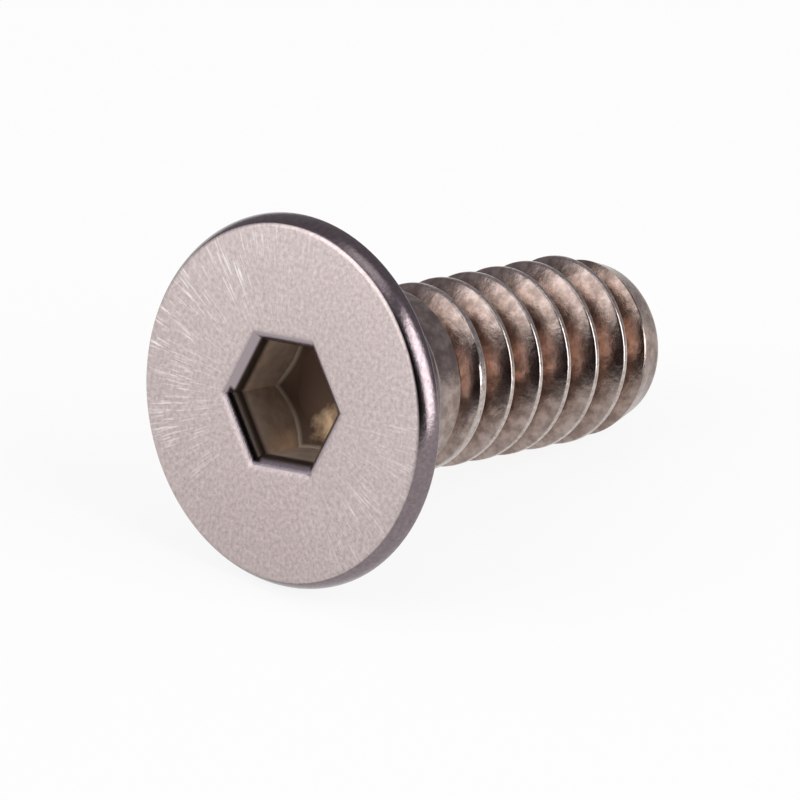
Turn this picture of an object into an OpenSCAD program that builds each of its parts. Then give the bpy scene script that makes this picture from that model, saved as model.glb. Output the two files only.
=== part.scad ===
// Hex socket cap screw with a flat (countersunk) head, one solid, lying on its side
// Lengths are millimetres. The screw is drawn upright on its head's face (z = 0) with its tip up, and is
// then laid down: row +X runs from the head to the tip, +Z is up and Z = 0 is the surface it lies on.
// Sizes follow the inch size number 10, 24 threads to the inch, 1/2 inch long, with an 82 degree head.

/* [Head] */
// largest diameter of the head, at the rounded rim
head_d = 9.25; // [9.12:0.01:9.6]
// depth of the rim below the face, where the head is widest
rim_drop = 0.52; // [0.45:0.01:0.6]
// included angle of the cone under the head
cone_angle = 82; // [80:0.5:90]
// radius between the cone and the shank
neck_r = 0.25; // [0.1:0.01:0.35]

/* [Hex socket] */
// across flats, for a 1/8 inch key
socket_af = 3.19; // [3.175:0.001:3.226]
// depth of the flats at the six corners
corner_depth = 1.69; // [1.4:0.01:1.8]
// depth of the flats at their middle, where the floor's rim dips
flat_depth = 2.05; // [1.85:0.01:2.15]
// depth at the centre of the floor
floor_depth = 2.30; // [2.2:0.01:2.4]
// width of the broken edge round the mouth
mouth_break = 0.13; // [0.03:0.01:0.15]
// turn of a socket corner from the side the screw lies on
socket_turn = 20; // [0:0.1:60]

/* [Thread] */
// crest diameter, class 2A of number 10-24 is 4.618 to 4.798
major_d = 4.62; // [4.618:0.001:4.798]
// hand of the helix: -1 winds as the photograph shows it, 1 is the usual right hand
thread_hand = -1; // [-1:2:1]
// turn at which the groove starts under the head, from the side the screw lies on
start_turn = 168; // [0:1:359]
// distance from the face to the start of the groove
start_z = 3.58; // [3.5:0.01:3.8]
// turns over which the groove runs out to nothing by the head
runout_turns = 1; // [0.8:0.05:1.2]
// steps in one turn of the groove
turn_steps = 48; // [36:12:60]

/* [Tip] */
// overall length, nominal 12.7 with a minus tolerance of 0.76
length = 12.05; // [11.95:0.01:12.7]
// length of the tapered end
taper_len = 1.40; // [1.2:0.01:1.5]
// slope of the tapered end to the axis
taper_slope = 16.6; // [14:0.1:18]
// radius between the taper and the end face
tip_r = 0.40; // [0.2:0.01:0.45]
// distance from the tip at which the groove starts to fade into the taper
fade_len = 1.00; // [0.95:0.01:1.1]
// turns over which it fades
fade_turns = 0.4; // [0.3:0.05:0.5]

/* [Hidden] */
$fn = 96;
hr = head_d / 2;
mr = major_d / 2;
cone = cone_angle / 2;
edge_r = 0.10;          // round between the face and the rim's side
under_r = 0.08;         // round between the rim's side and the cone
side_a = 50.8;          // lean of the rim's side where it leaves the face's round

// points on an arc in the [radius, z] plane, by the way the surface looks: 0 out of the face, 90 outwards, 180 to the tip
function arc(c, r, a0, a1, n) = [for (i = [0:n]) let (a = a0 + (a1 - a0) * i / n)
    [c[0] + r * sin(a), c[1] - r * cos(a)]];

// The rim's side is one shallow arc that leaves the face's round at side_a and stands upright at the rim.
side_r = (rim_drop - edge_r * (1 - cos(side_a))) / cos(side_a);
edge_c = [hr - side_r * (1 - sin(side_a)) - edge_r * sin(side_a), edge_r];
side_c = [hr - side_r, rim_drop];
under_c = [hr - under_r, rim_drop];
head_side = concat(arc(edge_c, edge_r, 0, side_a, 3), arc(side_c, side_r, side_a, 90, 6),
    arc(under_c, under_r, 90, 90 + cone, 3));

// The cone runs from the rim's lower round to the neck's hollow round.
cone_top = under_c + under_r * [cos(cone), sin(cone)];
shank_z = cone_top[1] + (cone_top[0] - mr) / tan(cone);
neck_c = [mr + neck_r, shank_z + neck_r * tan(cone / 2)];
neck_side = arc(neck_c, -neck_r, 90 + cone, 90, 5);

// The end tapers and is rounded into its flat.
end_r = mr - taper_len * tan(taper_slope);
tip_c = [end_r - tip_r * tan((90 - taper_slope) / 2), length - tip_r];
tip_side = concat([[mr, length - taper_len]], arc(tip_c, tip_r, 90 + taper_slope, 180, 5));
round_z = tip_side[1][1];
function outer(z) = z < length - taper_len ? mr : z < round_z ? mr - (z - length + taper_len) * tan(taper_slope) :
    tip_c[0] + sqrt(max(0, pow(tip_r, 2) - pow(z - tip_c[1], 2)));

// A 60 degree thread with a crest flat of 1/8 pitch and a rounded root.
pitch = 25.4 / 24;
crest = pitch / 8;
root_r = 0.1443 * pitch;
apex = (pitch - crest) / 2 / tan(30);
depth = apex - root_r;
neck_end = 3.50;        // the turned neck ends here and the threaded rod goes on
rod_z = 3.35;           // the rod starts inside the neck
inset = 0.003;          // the rod is this much slimmer than the neck, so that the two surfaces don't coincide

// The groove's middle at turn a about the axis, nearest to height z, and how much of its depth is lost there.
function base_z(a) = start_z + pitch * thread_hand * (a - start_turn) / 360;
function near_z(a, z) = base_z(a) + pitch * round((z - base_z(a)) / pitch);
function lost(zc) = (depth + 0.01) * max(0, min(1, max(1 - (zc - start_z) / pitch / runout_turns,
    (zc - length + fade_len) / pitch / fade_turns)));
function groove_r(w) = abs(w) < root_r * cos(30) ? mr - apex + 2 * root_r - sqrt(pow(root_r, 2) - w * w) :
    mr - (apex - abs(w) / tan(30));
function rod_r(a, z) = let (zc = near_z(a, z)) min(outer(z), mr, groove_r(z - zc) + lost(zc)) - inset;

// Rows follow the helix on the groove's edges, flanks and root, and level rows follow the rounded tip.
function edge_w(zc, side) = let (w0 = (apex - lost(zc)) * tan(30), past = zc - length + taper_len, t = tan(taper_slope))
    max(root_r, past + side * w0 < 0 ? w0 : (apex - lost(zc) - past * t) / (1 / tan(30) + side * t));
function turn_rows(a, zc) = [zc - edge_w(zc, -1), zc - root_r * cos(30), zc - root_r / 2, zc, zc + root_r / 2,
    zc + root_r * cos(30), zc + edge_w(zc, 1)];
function sorted(v) = len(v) < 2 ? v : let (p = v[floor(len(v) / 2)]) concat(sorted([for (x = v) if (x < p) x]),
    [for (x = v) if (x == p) x], sorted([for (x = v) if (x > p) x]));
first_k = floor((rod_z - base_z(0)) / pitch) - 2;
last_k = ceil((length - base_z(0)) / pitch) + 2;
function clamped(z) = max(rod_z, min(length, z));
function rows(a) = sorted(concat([for (k = [first_k:last_k]) each [for (z = turn_rows(a, base_z(a) + k * pitch))
    clamped(z)]], [for (p = tip_side) p[1]]));

module rod() {
    n = turn_steps;
    columns = [for (i = [0:n - 1]) rows(360 * i / n)];
    m = len(columns[0]);
    points = concat([for (i = [0:n - 1], z = columns[i]) let (a = 360 * i / n, r = rod_r(a, z))
        [r * cos(a), r * sin(a), z]], [[0, 0, rod_z], [0, 0, length]]);
    // after a whole turn every row meets the one a pitch along
    function at(i, j) = i < n ? i * m + j : max(0, min(m - 1, j + 7 * thread_hand));
    faces = concat([for (i = [0:n - 1], j = [0:m - 2]) each [[at(i, j), at(i, j + 1), at(i + 1, j + 1)],
        [at(i, j), at(i + 1, j + 1), at(i + 1, j)]]],
        [for (i = [0:n - 1]) [n * m, i * m, ((i + 1) % n) * m]],
        [for (i = [0:n - 1]) [n * m + 1, ((i + 1) % n) * m + m - 1, i * m + m - 1]]);
    polyhedron(points = points, faces = faces, convexity = 12);
}

module socket() {
    corner_r = socket_af / 2 / cos(30);
    slope = (flat_depth - corner_depth) / (corner_r - socket_af / 2);
    rotate([0, 0, socket_turn]) intersection() {
        translate([0, 0, -1]) cylinder(r = corner_r, h = floor_depth + 1.5, $fn = 6);
        rotate_extrude() polygon([[0, -1], [corner_r + 0.3, -1], [corner_r + 0.3, corner_depth - 0.3 * slope],
            [socket_af / 2, flat_depth], [0, floor_depth]]);
    }
    // the broken edge, a hexagonal bevel that starts just above the face
    rotate([0, 0, socket_turn]) translate([0, 0, -0.05])
        cylinder(r1 = (socket_af / 2 + mouth_break + 0.05) / cos(30), r2 = socket_af / 2 / cos(30),
            h = mouth_break + 0.05, $fn = 6);
}

module upright() {
    difference() {
        rotate_extrude() polygon(concat([[0, 0]], head_side, neck_side, [[mr, neck_end], [0, neck_end]]));
        socket();
    }
    rod();
}

// Laid down, the screw touches the surface with its rim and with one edge of its last crests on the under side.
tilt = min([for (z = rows(0)) if (z > length / 2) max([for (p = head_side) atan2(p[0] - rod_r(0, z), z - p[1])])]);
outline = concat(head_side, tip_side);
lift = max([for (p = head_side) p[1] * sin(tilt) + p[0] * cos(tilt)]);
x_min = min([for (p = outline) p[1] * cos(tilt) - p[0] * sin(tilt)]);
x_max = max([for (p = outline) p[1] * cos(tilt) + p[0] * sin(tilt)]);

module screw() {
    color([0.62, 0.60, 0.58])
        translate([-(x_min + x_max) / 2, 0, lift]) rotate([0, 90 + tilt, 0]) upright();
}

screw();
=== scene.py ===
"""A flat head socket cap screw in worn stainless steel, lying on its side on a pale studio floor."""
import math

import bpy
import bmesh
from mathutils import Matrix, Vector


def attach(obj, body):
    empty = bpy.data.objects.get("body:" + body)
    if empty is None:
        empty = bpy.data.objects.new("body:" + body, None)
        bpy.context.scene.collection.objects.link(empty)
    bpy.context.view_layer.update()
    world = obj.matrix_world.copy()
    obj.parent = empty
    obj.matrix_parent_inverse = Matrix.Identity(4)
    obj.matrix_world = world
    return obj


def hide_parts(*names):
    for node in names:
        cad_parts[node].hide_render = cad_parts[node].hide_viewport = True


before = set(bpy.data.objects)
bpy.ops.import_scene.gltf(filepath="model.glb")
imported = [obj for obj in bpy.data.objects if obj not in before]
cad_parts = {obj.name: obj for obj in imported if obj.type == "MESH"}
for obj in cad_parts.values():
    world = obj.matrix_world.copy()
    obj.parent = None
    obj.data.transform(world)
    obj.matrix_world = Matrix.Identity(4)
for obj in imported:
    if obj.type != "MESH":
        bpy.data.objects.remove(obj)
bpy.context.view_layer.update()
scene = bpy.context.scene
MM = 0.001
RIGHT_ANGLE = math.radians(90)
COS_30 = math.cos(math.radians(30))
TAN_30 = math.tan(math.radians(30))

# Sizes in millimetres. Head, neck, thread and tip have the values of the part's source.
HEAD_R = 9.25 / 2
RIM_DROP = 0.52
EDGE_R = 0.19           # 0.10 in the part; the photograph's worn edge between face and rim is rounder
UNDER_R = 0.08
SIDE_LEAN = math.radians(50.8)
CONE = math.radians(82 / 2)
NECK_R = 0.25
CREST_R = 4.62 / 2
PITCH = 25.4 / 24
CREST = PITCH / 8
ROOT_R = 0.1443 * PITCH
APEX = (PITCH - CREST) / 2 / TAN_30
DEPTH = APEX - ROOT_R
HAND = -1
START_TURN = math.radians(168)
START_Z = 3.58
RUNOUT_TURNS = 1.0
LENGTH = 12.05
TAPER_LEN = 1.40
TAPER = math.radians(16.6)
TIP_R = 0.40
FADE_LEN = 1.00
FADE_TURNS = 0.4
NECK_END = 3.50

# The socket was fitted to the photograph after the part, so its values differ from the part's.
SOCKET_AF = 2.84        # 3.19 in the part
CORNER_DEPTH = 1.62     # 1.69 in the part
PUNCH_SLOPE = math.radians(45)
FLOOR_R = 1.24          # the flats end on a cone that goes on down to this radius
FLOOR_DEPTH = 2.20      # 2.30 in the part
SOCKET_TURN = math.radians(20)
MOUTH_R = 0.38          # radius of the rolled edge between face and flats, a bevel of 0.13 in the part

# How the screw lies, as the part's source works it out.
TILT = math.radians(12.9736)
LIFT = 4.6257
X_MID = 5.5629

# Mesh: steps round every revolved or helical surface, and on each side of the socket.
AROUND = 144
SOCKET_STEPS = 16
MOUTH_STEPS = 9
WORN = 0.05             # how softly the thread's flanks turn over into its crests
CORNER_STEP = 0.014     # spacing of the rows on that turn
TIP_Z = 11.70           # the sweep of the thread stops here, and level rings go on over the tip
WALL_SPLIT = 0.9        # an extra ring half way down the socket's flats
MERGE = 0.0015          # points nearer than this become one
SHARP = math.radians(24)

# Patterns: the size of one feature in millimetres. Real grain is finer, and this is the finest that shows.
GRAIN = 1 / 9           # the face's satin
SPOT = 1 / 3.2          # lighter and darker spots of the rolled thread
PATCH = 1 / 0.9         # parts of the face with more and with fewer scratches
SCRATCH_LENGTH = 1 / 1.1
SCRATCH_TURN = 1 / 60   # in radians, which is 0.04 to 0.08 mm wide on the face

# Studio and camera, in millimetres.
FLOOR_HALF = 600
FLOOR_WHITE = 0.88      # share of the floor's white that is there whatever falls on it
LAMP_DISTANCE = 300
LAMP_AIM = 4            # height that the softboxes look at, the middle of the screw
LOOK = Vector((0.655610, 0.600132, -0.458277))
LOOK_AT = Vector((-3.584, -2.106, 4.699))
CAMERA_DISTANCE = 486.4
LENS = 900              # very long, because the photograph shows no perspective
SENSOR = 36


def arc(centre, radius, start, end, steps):
    """Points [radius, depth] on an arc; an angle of 0 looks out of the face and 90 degrees looks outwards."""
    points = []
    for i in range(steps + 1):
        a = start + (end - start) * i / steps
        points.append((centre[0] + radius * math.sin(a), centre[1] - radius * math.cos(a)))
    return points


side_r = (RIM_DROP - EDGE_R * (1 - math.cos(SIDE_LEAN))) / math.cos(SIDE_LEAN)
edge_c = (HEAD_R - side_r * (1 - math.sin(SIDE_LEAN)) - EDGE_R * math.sin(SIDE_LEAN), EDGE_R)
side_c = (HEAD_R - side_r, RIM_DROP)
under_c = (HEAD_R - UNDER_R, RIM_DROP)
cone_top = (under_c[0] + UNDER_R * math.cos(CONE), under_c[1] + UNDER_R * math.sin(CONE))
shank_z = cone_top[1] + (cone_top[0] - CREST_R) / math.tan(CONE)
neck_c = (CREST_R + NECK_R, shank_z + NECK_R * math.tan(CONE / 2))
end_r = CREST_R - TAPER_LEN * math.tan(TAPER)
tip_c = (end_r - TIP_R * math.tan((RIGHT_ANGLE - TAPER) / 2), LENGTH - TIP_R)
round_z = arc(tip_c, TIP_R, RIGHT_ANGLE + TAPER, math.pi, 1)[0][1]


def outer_radius(z):
    """The end's tapered and rounded outline, which the thread is cut into."""
    if z < LENGTH - TAPER_LEN:
        return CREST_R
    if z < round_z:
        return CREST_R - (z - LENGTH + TAPER_LEN) * math.tan(TAPER)
    return tip_c[0] + math.sqrt(max(0.0, TIP_R ** 2 - (z - tip_c[1]) ** 2))


def groove_middle(angle):
    """Depth of the groove's middle at a turn about the axis, before whole pitches are added."""
    return START_Z + PITCH * HAND * (angle - START_TURN) / (2 * math.pi)


def thread_radius(angle, z):
    """Distance from the axis to the threaded surface, at a turn about the axis and a depth from the face."""
    base = groove_middle(angle)
    middle = base + PITCH * round((z - base) / PITCH)

    # Under the head and on the taper the groove loses its depth and a hair more, so that none of it is left.
    lost = (DEPTH + 0.01) * max(0.0, min(1.0, max(1 - (middle - START_Z) / PITCH / RUNOUT_TURNS,
                                                  (middle - LENGTH + FADE_LEN) / PITCH / FADE_TURNS)))
    w = abs(z - middle)
    if w < ROOT_R * COS_30:
        groove = CREST_R - APEX + 2 * ROOT_R - math.sqrt(ROOT_R ** 2 - w * w)
    else:
        groove = CREST_R - (APEX - w / TAN_30)
    crest, flank = outer_radius(z), groove + lost
    near = max(WORN - abs(crest - flank), 0) / WORN
    return min(crest, flank) - WORN * near ** 2 / 4


def socket_floor(r):
    """Depth of the socket's floor, a steep cone that the flats end on round a shallow one."""
    corner_r = SOCKET_AF / 2 / COS_30
    if r > FLOOR_R:
        return CORNER_DEPTH + (corner_r - r) * math.tan(PUNCH_SLOPE)
    rim = CORNER_DEPTH + (corner_r - FLOOR_R) * math.tan(PUNCH_SLOPE)
    return rim + (FLOOR_DEPTH - rim) * (1 - r / FLOOR_R)


def chain(bm, points):
    """A row of vertices joined by edges, from [radius, depth] points on the side where the turn is 0."""
    verts = [bm.verts.new((r, 0, z)) for r, z in points]
    return verts + [bm.edges.new(pair) for pair in zip(verts, verts[1:])]


def turned(v):
    """A point's turn about the axis."""
    return math.atan2(v.co.y, v.co.x)


def put(v, r, turn, z):
    v.co = (r * math.cos(turn), r * math.sin(turn), z)


def of_kind(kind, parts):
    return [p for p in parts if isinstance(p, kind)]


def extrude_ring(bm, edges):
    """Extrudes a closed ring of edges and gives back the new ring's edges and vertices."""
    new = bmesh.ops.extrude_edge_only(bm, edges=edges)["geom"]
    return of_kind(bmesh.types.BMEdge, new), of_kind(bmesh.types.BMVert, new)


def turn_head(bm):
    """Head and neck: the outline from the face's edge to the start of the thread, turned once round."""
    outline = (arc(edge_c, EDGE_R, 0, SIDE_LEAN, 6) + arc(side_c, side_r, SIDE_LEAN, RIGHT_ANGLE, 14)[1:]
               + arc(under_c, UNDER_R, RIGHT_ANGLE, RIGHT_ANGLE + CONE, 5)[1:]
               + arc(neck_c, -NECK_R, RIGHT_ANGLE + CONE, RIGHT_ANGLE, 8) + [(CREST_R, NECK_END)])
    bmesh.ops.spin(bm, geom=chain(bm, outline), cent=(0, 0, 0), axis=(0, 0, 1), angle=2 * math.pi,
                   steps=AROUND, use_merge=True, use_duplicate=False)


def sweep_thread(bm):
    """One pitch of rows is swept through one turn and copied along, and every point goes to the thread."""
    first = groove_middle(0)
    low = math.floor((NECK_END - first) / PITCH) - 2
    corner = (PITCH - CREST) / 2

    # Half a pitch of rows, by their distance from the groove's middle: closest where the crest begins.
    offsets = ([0.0, 0.05, 0.1, ROOT_R * COS_30, 0.19, 0.25, 0.31, 0.37, 0.41]
               + [corner + k * CORNER_STEP for k in (-2, -1, 0, 1, 2)] + [PITCH / 2])
    rows = [(CREST_R, first + PITCH * low - w) for w in reversed(offsets[1:])]
    rows += [(CREST_R, first + PITCH * low + w) for w in offsets]
    head_parts = set(bm.verts)
    bmesh.ops.spin(bm, geom=chain(bm, rows), cent=(0, 0, 0), axis=(0, 0, 1), angle=HAND * 2 * math.pi,
                   dvec=(0, 0, PITCH / AROUND), steps=AROUND, use_merge=False, use_duplicate=False)
    turn = [f for f in bm.faces if f.verts[0] not in head_parts]
    for k in range(1, math.ceil((TIP_Z - NECK_END) / PITCH) + 4):
        copy = of_kind(bmesh.types.BMVert, bmesh.ops.duplicate(bm, geom=turn)["geom"])
        bmesh.ops.translate(bm, vec=(0, 0, k * PITCH), verts=copy)
    for v in bm.verts:
        if v not in head_parts:
            z = max(NECK_END, min(TIP_Z, v.co.z))
            put(v, CREST_R if z == NECK_END else thread_radius(turned(v), z), turned(v), z)
    bmesh.ops.remove_doubles(bm, verts=bm.verts, dist=MERGE)
    bmesh.ops.dissolve_degenerate(bm, edges=bm.edges, dist=MERGE / 3)


def close_tip(bm):
    """Rings go on over the taper and the round to the end face."""
    ring = [e for e in bm.edges if e.is_boundary and e.verts[0].co.z > TIP_Z - 0.01]
    for r, z in [(outer_radius(round_z), round_z)] + arc(tip_c, TIP_R, RIGHT_ANGLE + TAPER, math.pi, 9)[1:]:
        ring, verts = extrude_ring(bm, ring)
        for v in verts:
            put(v, r, turned(v), z)
    bmesh.ops.contextual_create(bm, geom=ring)


def sink_socket(bm):
    """A ring of six sides goes over the rounded mouth, down the flats and over the floor to its centre."""
    across = SOCKET_AF / 2 + MOUTH_R
    hexagon = bmesh.ops.create_circle(bm, cap_ends=False, radius=across / COS_30, segments=6,
                                      matrix=Matrix.Rotation(SOCKET_TURN - math.radians(30), 4, "Z"))["verts"]
    edges = list({e for v in hexagon for e in v.link_edges})
    cut = bmesh.ops.subdivide_edges(bm, edges=edges, cuts=SOCKET_STEPS - 1)
    mouth = of_kind(bmesh.types.BMEdge, cut["geom_split"])

    # Each ring has a function for its distance from the axis and one for its depth, both of the ring before.
    rings = []
    reach = across
    for i in range(1, MOUTH_STEPS + 1):
        a = RIGHT_ANGLE * i / MOUTH_STEPS
        after = SOCKET_AF / 2 + MOUTH_R * (1 - math.sin(a))
        rings.append((lambda r, k=after / reach: r * k, lambda r, z=MOUTH_R * (1 - math.cos(a)): z))
        reach = after
    rings += [(lambda r: r, lambda r: WALL_SPLIT), (lambda r: r, socket_floor)]
    rings += [(lambda r, k=k: FLOOR_R + (r - FLOOR_R) * k, socket_floor) for k in (0.66, 0.33, 0.0)]
    rings += [(lambda r, k=k: FLOOR_R * k, socket_floor) for k in (0.97, 0.6, 0.2)]
    ring = list(mouth)
    for radius_of, depth_of in rings:
        ring, verts = extrude_ring(bm, ring)
        for v in verts:
            r = radius_of(math.hypot(v.co.x, v.co.y))
            put(v, r, turned(v), depth_of(r))
    bmesh.ops.contextual_create(bm, geom=ring)
    return mouth


def build_screw():
    bm = bmesh.new()
    turn_head(bm)
    sweep_thread(bm)
    close_tip(bm)
    mouth = sink_socket(bm)

    # Face: the flat between the socket's mouth and the head's edge.
    head_edge = [e for e in bm.edges if e.is_boundary and abs(e.verts[0].co.z) < 1e-4
                 and math.hypot(e.verts[0].co.x, e.verts[0].co.y) > HEAD_R / 2 + MOUTH_R]
    bmesh.ops.bridge_loops(bm, edges=head_edge + mouth)

    bmesh.ops.recalc_face_normals(bm, faces=bm.faces)
    for f in bm.faces:
        f.smooth = True
    for e in bm.edges:
        if len(e.link_faces) == 2 and e.calc_face_angle(0) > SHARP:
            e.smooth = False

    # Laid down on its rim and its last crest.
    place = Matrix.Translation((-X_MID, 0, LIFT)) @ Matrix.Rotation(RIGHT_ANGLE + TILT, 4, "Y")
    bmesh.ops.transform(bm, matrix=Matrix.Scale(MM, 4) @ place, verts=bm.verts)
    mesh = bpy.data.meshes.new("screw_worn")
    bm.to_mesh(mesh)
    bm.free()
    piece = bpy.data.objects.new("screw_worn", mesh)
    scene.collection.objects.link(piece)
    return piece


def srgb(code):
    """Hex colour to linear RGBA."""
    channels = [int(code[i:i + 2], 16) / 255 for i in (1, 3, 5)]
    return [c / 12.92 if c <= 0.04045 else ((c + 0.055) / 1.055) ** 2.4 for c in channels] + [1]


def new_material(name):
    material = bpy.data.materials.new(name)
    material.use_nodes = True
    material.node_tree.nodes.clear()
    return material, material.node_tree


def node(tree, kind, inputs=(), output=0, **settings):
    """Adds a shader node with its settings, its inputs by place or name, and gives back one of its outputs.

    An input is a number, a vector, a hex colour or an output of another node.
    """
    made = tree.nodes.new("ShaderNode" + kind)
    for key, value in settings.items():
        setattr(made, key, value)
    for key, value in inputs.items() if isinstance(inputs, dict) else enumerate(inputs):
        if isinstance(value, bpy.types.NodeSocket):
            tree.links.new(value, made.inputs[key])
        else:
            made.inputs[key].default_value = srgb(value) if isinstance(value, str) else value
    return made.outputs[output] if made.outputs else None


def along(azimuth, elevation):
    """Direction from the screw, by its azimuth from row +X towards +Y and its height above the horizon."""
    a, e = math.radians(azimuth), math.radians(elevation)
    return Vector((math.cos(e) * math.cos(a), math.cos(e) * math.sin(a), math.sin(e)))


def steel_places(tree):
    """Where a point lies on the screw, in millimetres from the middle of the face, and the noises there."""
    seen = node(tree, "TexCoord").node.outputs
    turn = Matrix.Rotation(RIGHT_ANGLE + TILT, 3, "Y").inverted()
    back = turn @ Vector((X_MID, 0, -LIFT))         # the mapping node scales, then turns, then moves
    local = node(tree, "Mapping", {"Vector": seen["Object"], "Location": back, "Rotation": turn.to_euler(),
                                   "Scale": (1 / MM, 1 / MM, 1 / MM)})
    parts = node(tree, "SeparateXYZ", [local]).node.outputs
    flat = node(tree, "CombineXYZ", [parts["X"], parts["Y"]])
    radius = node(tree, "VectorMath", [flat], "Value", operation="LENGTH")
    ray = node(tree, "VectorMath", [flat], "Vector", operation="NORMALIZE")
    axis = (math.cos(TILT), 0, -math.sin(TILT))
    lean = node(tree, "VectorMath", [seen["Normal"], axis], "Value", operation="DOT_PRODUCT")

    # How far out a point is towards three of the flats; the first of them is low and left in the photograph.
    to_flats = []
    for a in (SOCKET_TURN + math.radians(30 + 60 * k) for k in range(3)):
        out = (math.cos(a), math.sin(a), 0.0)
        to_flats.append(node(tree, "VectorMath", [flat, out], "Value", operation="DOT_PRODUCT"))
    reach = 0.0
    for to_flat in to_flats:
        either_way = node(tree, "Math", [to_flat], operation="ABSOLUTE")
        reach = node(tree, "Math", [reach, either_way], operation="MAXIMUM")

    grain = node(tree, "TexNoise", {"Vector": local, "Scale": 1 / GRAIN, "Detail": 5.0, "Roughness": 0.7})
    mottle = node(tree, "TexNoise", {"Vector": local, "Scale": 1 / SPOT, "Detail": 3.0, "Roughness": 0.6})
    patch = node(tree, "TexNoise", {"Vector": local, "Scale": 1 / PATCH, "Detail": 1.0})

    # Scratches are long along the radius and narrow across it, and most are on the left in the photograph.
    fine = node(tree, "VectorMath", {0: ray, "Scale": 1 / SCRATCH_TURN}, "Vector", operation="SCALE")
    slow = node(tree, "Math", [radius, 1 / SCRATCH_LENGTH], operation="MULTIPLY")
    polar = node(tree, "VectorMath", [fine, node(tree, "CombineXYZ", {"Z": slow})], "Vector", operation="ADD")
    streak = node(tree, "TexNoise", {"Vector": polar, "Scale": 1.0, "Detail": 3.0, "Roughness": 0.65})
    leftward = node(tree, "VectorMath", [ray, (-0.34, 0.94, 0.0)], "Value", operation="DOT_PRODUCT")

    # A painted reflection: a light patch on the socket's dark floor, with a ragged edge.
    glint_distance = node(tree, "VectorMath", [flat, (0.85, 0.10, 0.0)], "Value", operation="DISTANCE")
    glint_distance = node(tree, "Math", [mottle, 0.9, glint_distance], operation="MULTIPLY_ADD")
    return {"down": parts["X"], "depth": parts["Z"], "radius": radius, "reach": reach,
            "low_left": to_flats[0], "lean": node(tree, "Math", [lean], operation="ABSOLUTE"), "grain": grain,
            "mottle": mottle, "patch": patch, "streak": streak, "leftward": leftward, "glint_distance": glint_distance}


def steel_marks(tree):
    """Shares from 0 to 1 that say where each kind of surface is."""
    marks = steel_places(tree)

    # A name, what it goes by (radius, depth and reach are millimetres), the two values between which it
    # changes, and what it is at those two where that isn't 0 and 1.
    for name, what, *ends in (
            ("shallow", "radius", 2.2, 2.6, 0.50, 0.045),       # depth of the face's look, deepest in the mouth
            ("half_shallow", "radius", 2.2, 2.6, 0.25, 0.0225),
            ("face", "depth", "half_shallow", "shallow", 1.0, 0.0),
            ("by_socket", "radius", 2.2, 2.3, 1.0, 0.0),
            ("mouth", "depth", 0.008, 0.035, 0.0, "by_socket"),
            ("mouth_face", "mouth", 0.0, 1.0, 0.0, "face"),
            ("not_thread", "depth", 2.6, 2.8, 1.0, 0.0),        # its root is as near the axis as the socket
            ("hollow", "radius", 1.9, 2.0, "not_thread", 0.0),
            ("socket", "depth", 0.15, 0.21, 0.0, "hollow"),
            # painted shade: a near-black band on the low side of the socket's mouth
            ("low_side", "low_left", 1.36, 1.44, 0.0, "hollow"),
            ("shaded_lip", "depth", 0.05, 0.09, 0.0, "low_side"),
            ("below_shaded_band", "depth", 0.38, 0.55),
            ("deep", "depth", 0.9, 1.0),
            ("floor", "lean", 0.2, 0.4, 0.0, "deep"),
            ("socket_floor", "floor", 0.0, 1.0, 0.0, "socket"),
            ("flats_end_highlight", "reach", SOCKET_AF / 2 - 0.09, SOCKET_AF / 2 - 0.02),
            ("off_glint", "glint_distance", 0.5, 1.0),
            ("thread", "depth", 3.0, 3.5),
            ("thread_hills", "depth", 3.0, 3.5, 0.0, 1.2),
            ("height", "radius", 1.75, 2.22),                   # 0 in the thread's root and 1 near its crest
            # painted highlight: the crests past the neck are painted lighter as a bright line, on top of their
            # wear
            ("past_neck", "depth", 4.3, 4.8),
            ("crest", "radius", 2.287, 2.299, 0.0, "past_neck"),
            ("bead", "grain", 0.42, 0.58, 0.35, 1.0),           # small nicks dull the crests here and there
            ("crest_highlight", "crest", 0.0, 1.0, 0.0, "bead"),
            ("tone", "grain", 0.32, 0.68),
            ("spots", "mottle", 0.38, 0.64),
            ("wall_spots", "mottle", 0.35, 0.65),
            # painted light: the face is made lighter towards its top
            ("toward_lit_top", "down", 4.0, -4.0),
            ("streaks", "streak", 0.52, 0.68),
            ("left_side", "leftward", 0.1, 0.9),
            ("right_side", "leftward", -0.6, -1.0, 0.0, 0.5),
            ("patches", "patch", 0.35, 0.6, 0.25, 1.0),
            ("outward", "radius", 1.9, 3.2, 0.2, 1.0),
            ("oiled_metal", "socket", 0.0, 1.0, 1.0, 0.7)):     # a thin film of old oil dulls the socket
        marks[name] = node(tree, "MapRange", [marks[x] if isinstance(x, str) else x for x in (what, *ends)])

    marks["scratch"] = node(tree, "Math", [marks["left_side"], marks["right_side"]], operation="MAXIMUM")
    for name in ("patches", "outward", "streaks", "face"):
        marks["scratch"] = node(tree, "Math", [marks["scratch"], marks[name]], operation="MULTIPLY")
    return marks


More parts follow.
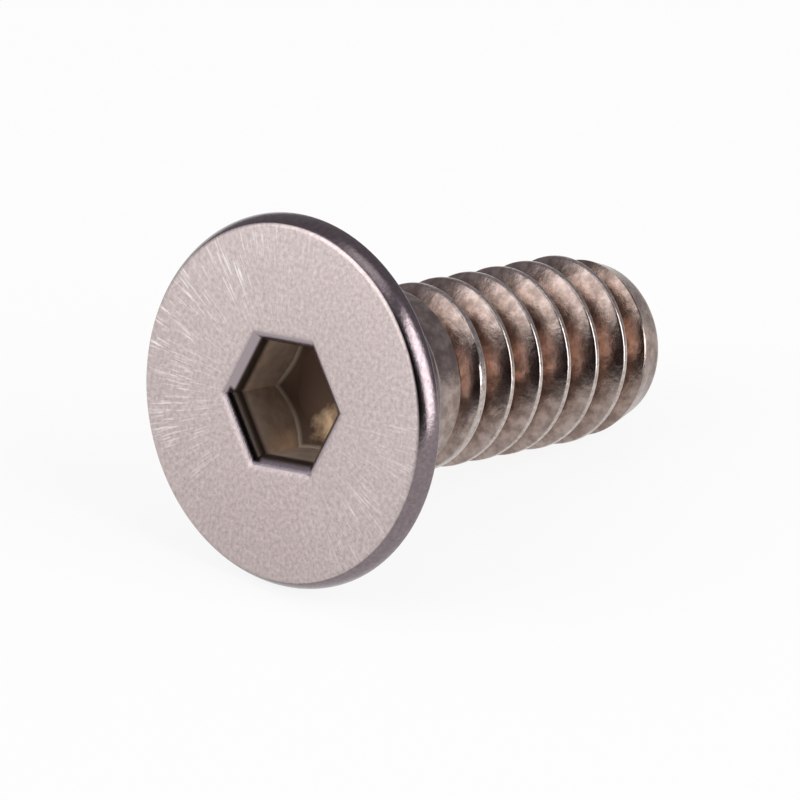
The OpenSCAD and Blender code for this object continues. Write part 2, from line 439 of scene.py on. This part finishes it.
def steel_colour(tree, marks):
    """Each tone is mixed by a share of the surface from two others, and the last is the whole screw's."""
    tones = {}
    for name, share, first, second in (
            ("rim", "tone", "#73686c", "#8a7e81"),
            # painted shade and painted reflection: the thread grows darker and browner towards its roots
            ("root", "spots", "#59453a", "#8f705f"),
            ("flank", "spots", "#86766f", "#aa9b95"),
            ("groove", "height", "root", "flank"),
            # painted highlight along the crests
            ("thread", "crest_highlight", "groove", "#c4bab5"),
            # painted light: face_low and face_high make the face lighter towards its top
            ("face_low", "tone", "#a69897", "#cdbfbd"),
            ("face_high", "tone", "#b9abaa", "#e0d3d0"),
            ("face_plain", "toward_lit_top", "face_low", "face_high"),
            ("face_scratched", "scratch", "face_plain", "#fbf6f3"),
            # painted shade: the socket's rolled mouth is a darker grey than the face
            ("face", "mouth", "face_scratched", "#a1959a"),
            # painted shade and painted light: the walls are dark brown in a band below the mouth, and almost
            # white further down to lighten the dim socket
            ("wall_plain", "wall_spots", "#dccbbb", "#f0e2d4"),
            ("wall", "below_shaded_band", "#453a34", "wall_plain"),
            # painted shade and painted reflection: the socket's floor is dark brown with a light patch
            ("shaded_floor_with_glint", "off_glint", "#d8b996", "#5c483c"),
            # painted highlight: a lighter line where the flats end on the floor's cone
            ("floor", "flats_end_highlight", "shaded_floor_with_glint", "#a39586"),
            ("socket", "floor", "wall", "floor"),
            ("outside", "thread", "rim", "thread"),
            ("with_face", "face", "outside", "face"),
            # painted shade on the low side of the mouth
            ("with_lip", "shaded_lip", "with_face", "#2b2422"),
            ("screw", "socket", "with_lip", "socket")):
        ends = [tones.get(tone, tone) for tone in (first, second)]
        tones[name] = node(tree, "Mix", {"Factor": marks[share], "A": ends[0], "B": ends[1]}, "Result",
                           data_type="RGBA")
    return tones["screw"]


def stainless():
    """Bare stainless steel: a satin face with fine radial scratches, painted lighter towards its top, and a
    browner, darker thread and socket, with painted shade in the thread's roots and the socket and painted
    highlights on the crests and the socket's floor.

    The turned rim and the rolled thread are smoother than the face, so they mirror the softboxes as narrow
    lines and blotches, and the face spreads them into one even grey.
    """
    material, tree = new_material("stainless_steel_worn")
    marks = steel_marks(tree)
    rough = node(tree, "MapRange", [marks["face"], 0.0, 1.0, 0.16, 0.40])
    for name, change in (("socket", 0.12), ("mouth_face", -0.16), ("thread", 0.06), ("socket_floor", 0.25)):
        rough = node(tree, "Math", [marks[name], change, rough], operation="MULTIPLY_ADD")
    hills = [marks[name] for name in ("mottle", "thread_hills", "grain")]
    hills = node(tree, "Math", hills, operation="MULTIPLY_ADD")
    bump = node(tree, "Bump", {"Height": hills, "Strength": 0.5, "Distance": 0.012 * MM})
    steel = node(tree, "BsdfPrincipled", {"Base Color": steel_colour(tree, marks), "Normal": bump,
                                          "Metallic": marks["oiled_metal"], "Roughness": rough})
    node(tree, "OutputMaterial", {"Surface": steel})
    return material


def studio_floor():
    """Pale paper that keeps the screw's shadow and is white where the camera or the metal sees it."""
    material, tree = new_material("studio_floor_paper")
    matt = node(tree, "BsdfDiffuse", {"Color": "#f0eeec", "Roughness": 0.0})
    white = node(tree, "Emission", {"Color": (1, 1, 1, 1), "Strength": 1.0})
    rays = node(tree, "LightPath").node.outputs
    seen = rays["Is Camera Ray"]
    for name in ("Is Glossy Ray", "Is Transmission Ray"):
        seen = node(tree, "Math", [seen, rays[name]], operation="MAXIMUM")
    share = node(tree, "Math", [seen, FLOOR_WHITE], operation="MULTIPLY")
    node(tree, "OutputMaterial", {"Surface": node(tree, "MixShader", [share, matt, white])})
    return material


def lay_floor():
    bm = bmesh.new()
    bmesh.ops.create_grid(bm, x_segments=1, y_segments=1, size=FLOOR_HALF * MM)
    mesh = bpy.data.meshes.new("studio_floor")
    bm.to_mesh(mesh)
    bm.free()
    mesh.materials.append(studio_floor())
    floor = bpy.data.objects.new("studio_floor", mesh)
    scene.collection.objects.link(floor)
    return floor


def hang_softbox(name, azimuth, elevation, size, radiance):
    """A rectangular softbox that looks at the screw, by its direction, its size and its radiance."""
    data = bpy.data.lights.new(name, "AREA")
    data.shape = "RECTANGLE"
    data.size, data.size_y = size[0] * MM, size[1] * MM
    data.energy = radiance * math.pi * data.size * data.size_y
    lamp = bpy.data.objects.new(name, data)
    lamp.location = along(azimuth, elevation) * LAMP_DISTANCE * MM + Vector((0, 0, LAMP_AIM * MM))
    lamp.rotation_euler = along(azimuth, elevation).to_track_quat("Z", "Y").to_euler()
    scene.collection.objects.link(lamp)


def set_camera():
    """The photograph's view."""
    data = bpy.data.cameras.new("photo_camera")
    data.sensor_width = SENSOR
    data.lens = LENS
    data.clip_start = 0.01
    data.clip_end = 10
    camera = bpy.data.objects.new("photo_camera", data)
    camera.location = LOOK_AT * MM - LOOK * CAMERA_DISTANCE * MM
    camera.rotation_euler = LOOK.to_track_quat("-Z", "Y").to_euler()
    scene.collection.objects.link(camera)
    scene.camera = camera


def light_room():
    """The room behind the camera is dim, and the rest of it is a soft grey."""
    world = bpy.data.worlds.new("studio")
    scene.world = world
    world.use_nodes = True
    tree = world.node_tree
    tree.nodes.clear()
    way = node(tree, "TexCoord", output="Generated")
    facing = node(tree, "VectorMath", [way, along(-146, 12)], "Value", operation="DOT_PRODUCT")
    dim = node(tree, "MapRange", [facing, 0.50, 0.80])
    room = node(tree, "Mix", {"Factor": dim, "A": "#98969c", "B": "#1c1615"}, "Result", data_type="RGBA")
    node(tree, "OutputWorld", {"Surface": node(tree, "Background", {"Color": room, "Strength": 1.0})})


set_camera()
screw = build_screw()
screw.data.materials.append(stainless())
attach(screw, "root")
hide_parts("screw")

lay_floor()

hang_softbox("softbox_back_left", 157, 35, (270, 330), 2.1)
hang_softbox("softbox_front_right", -78, 27, (190, 310), 4.8)
hang_softbox("softbox_top", 0, 88, (170, 170), 1.0)
light_room()

scene.view_settings.view_transform = "Standard"
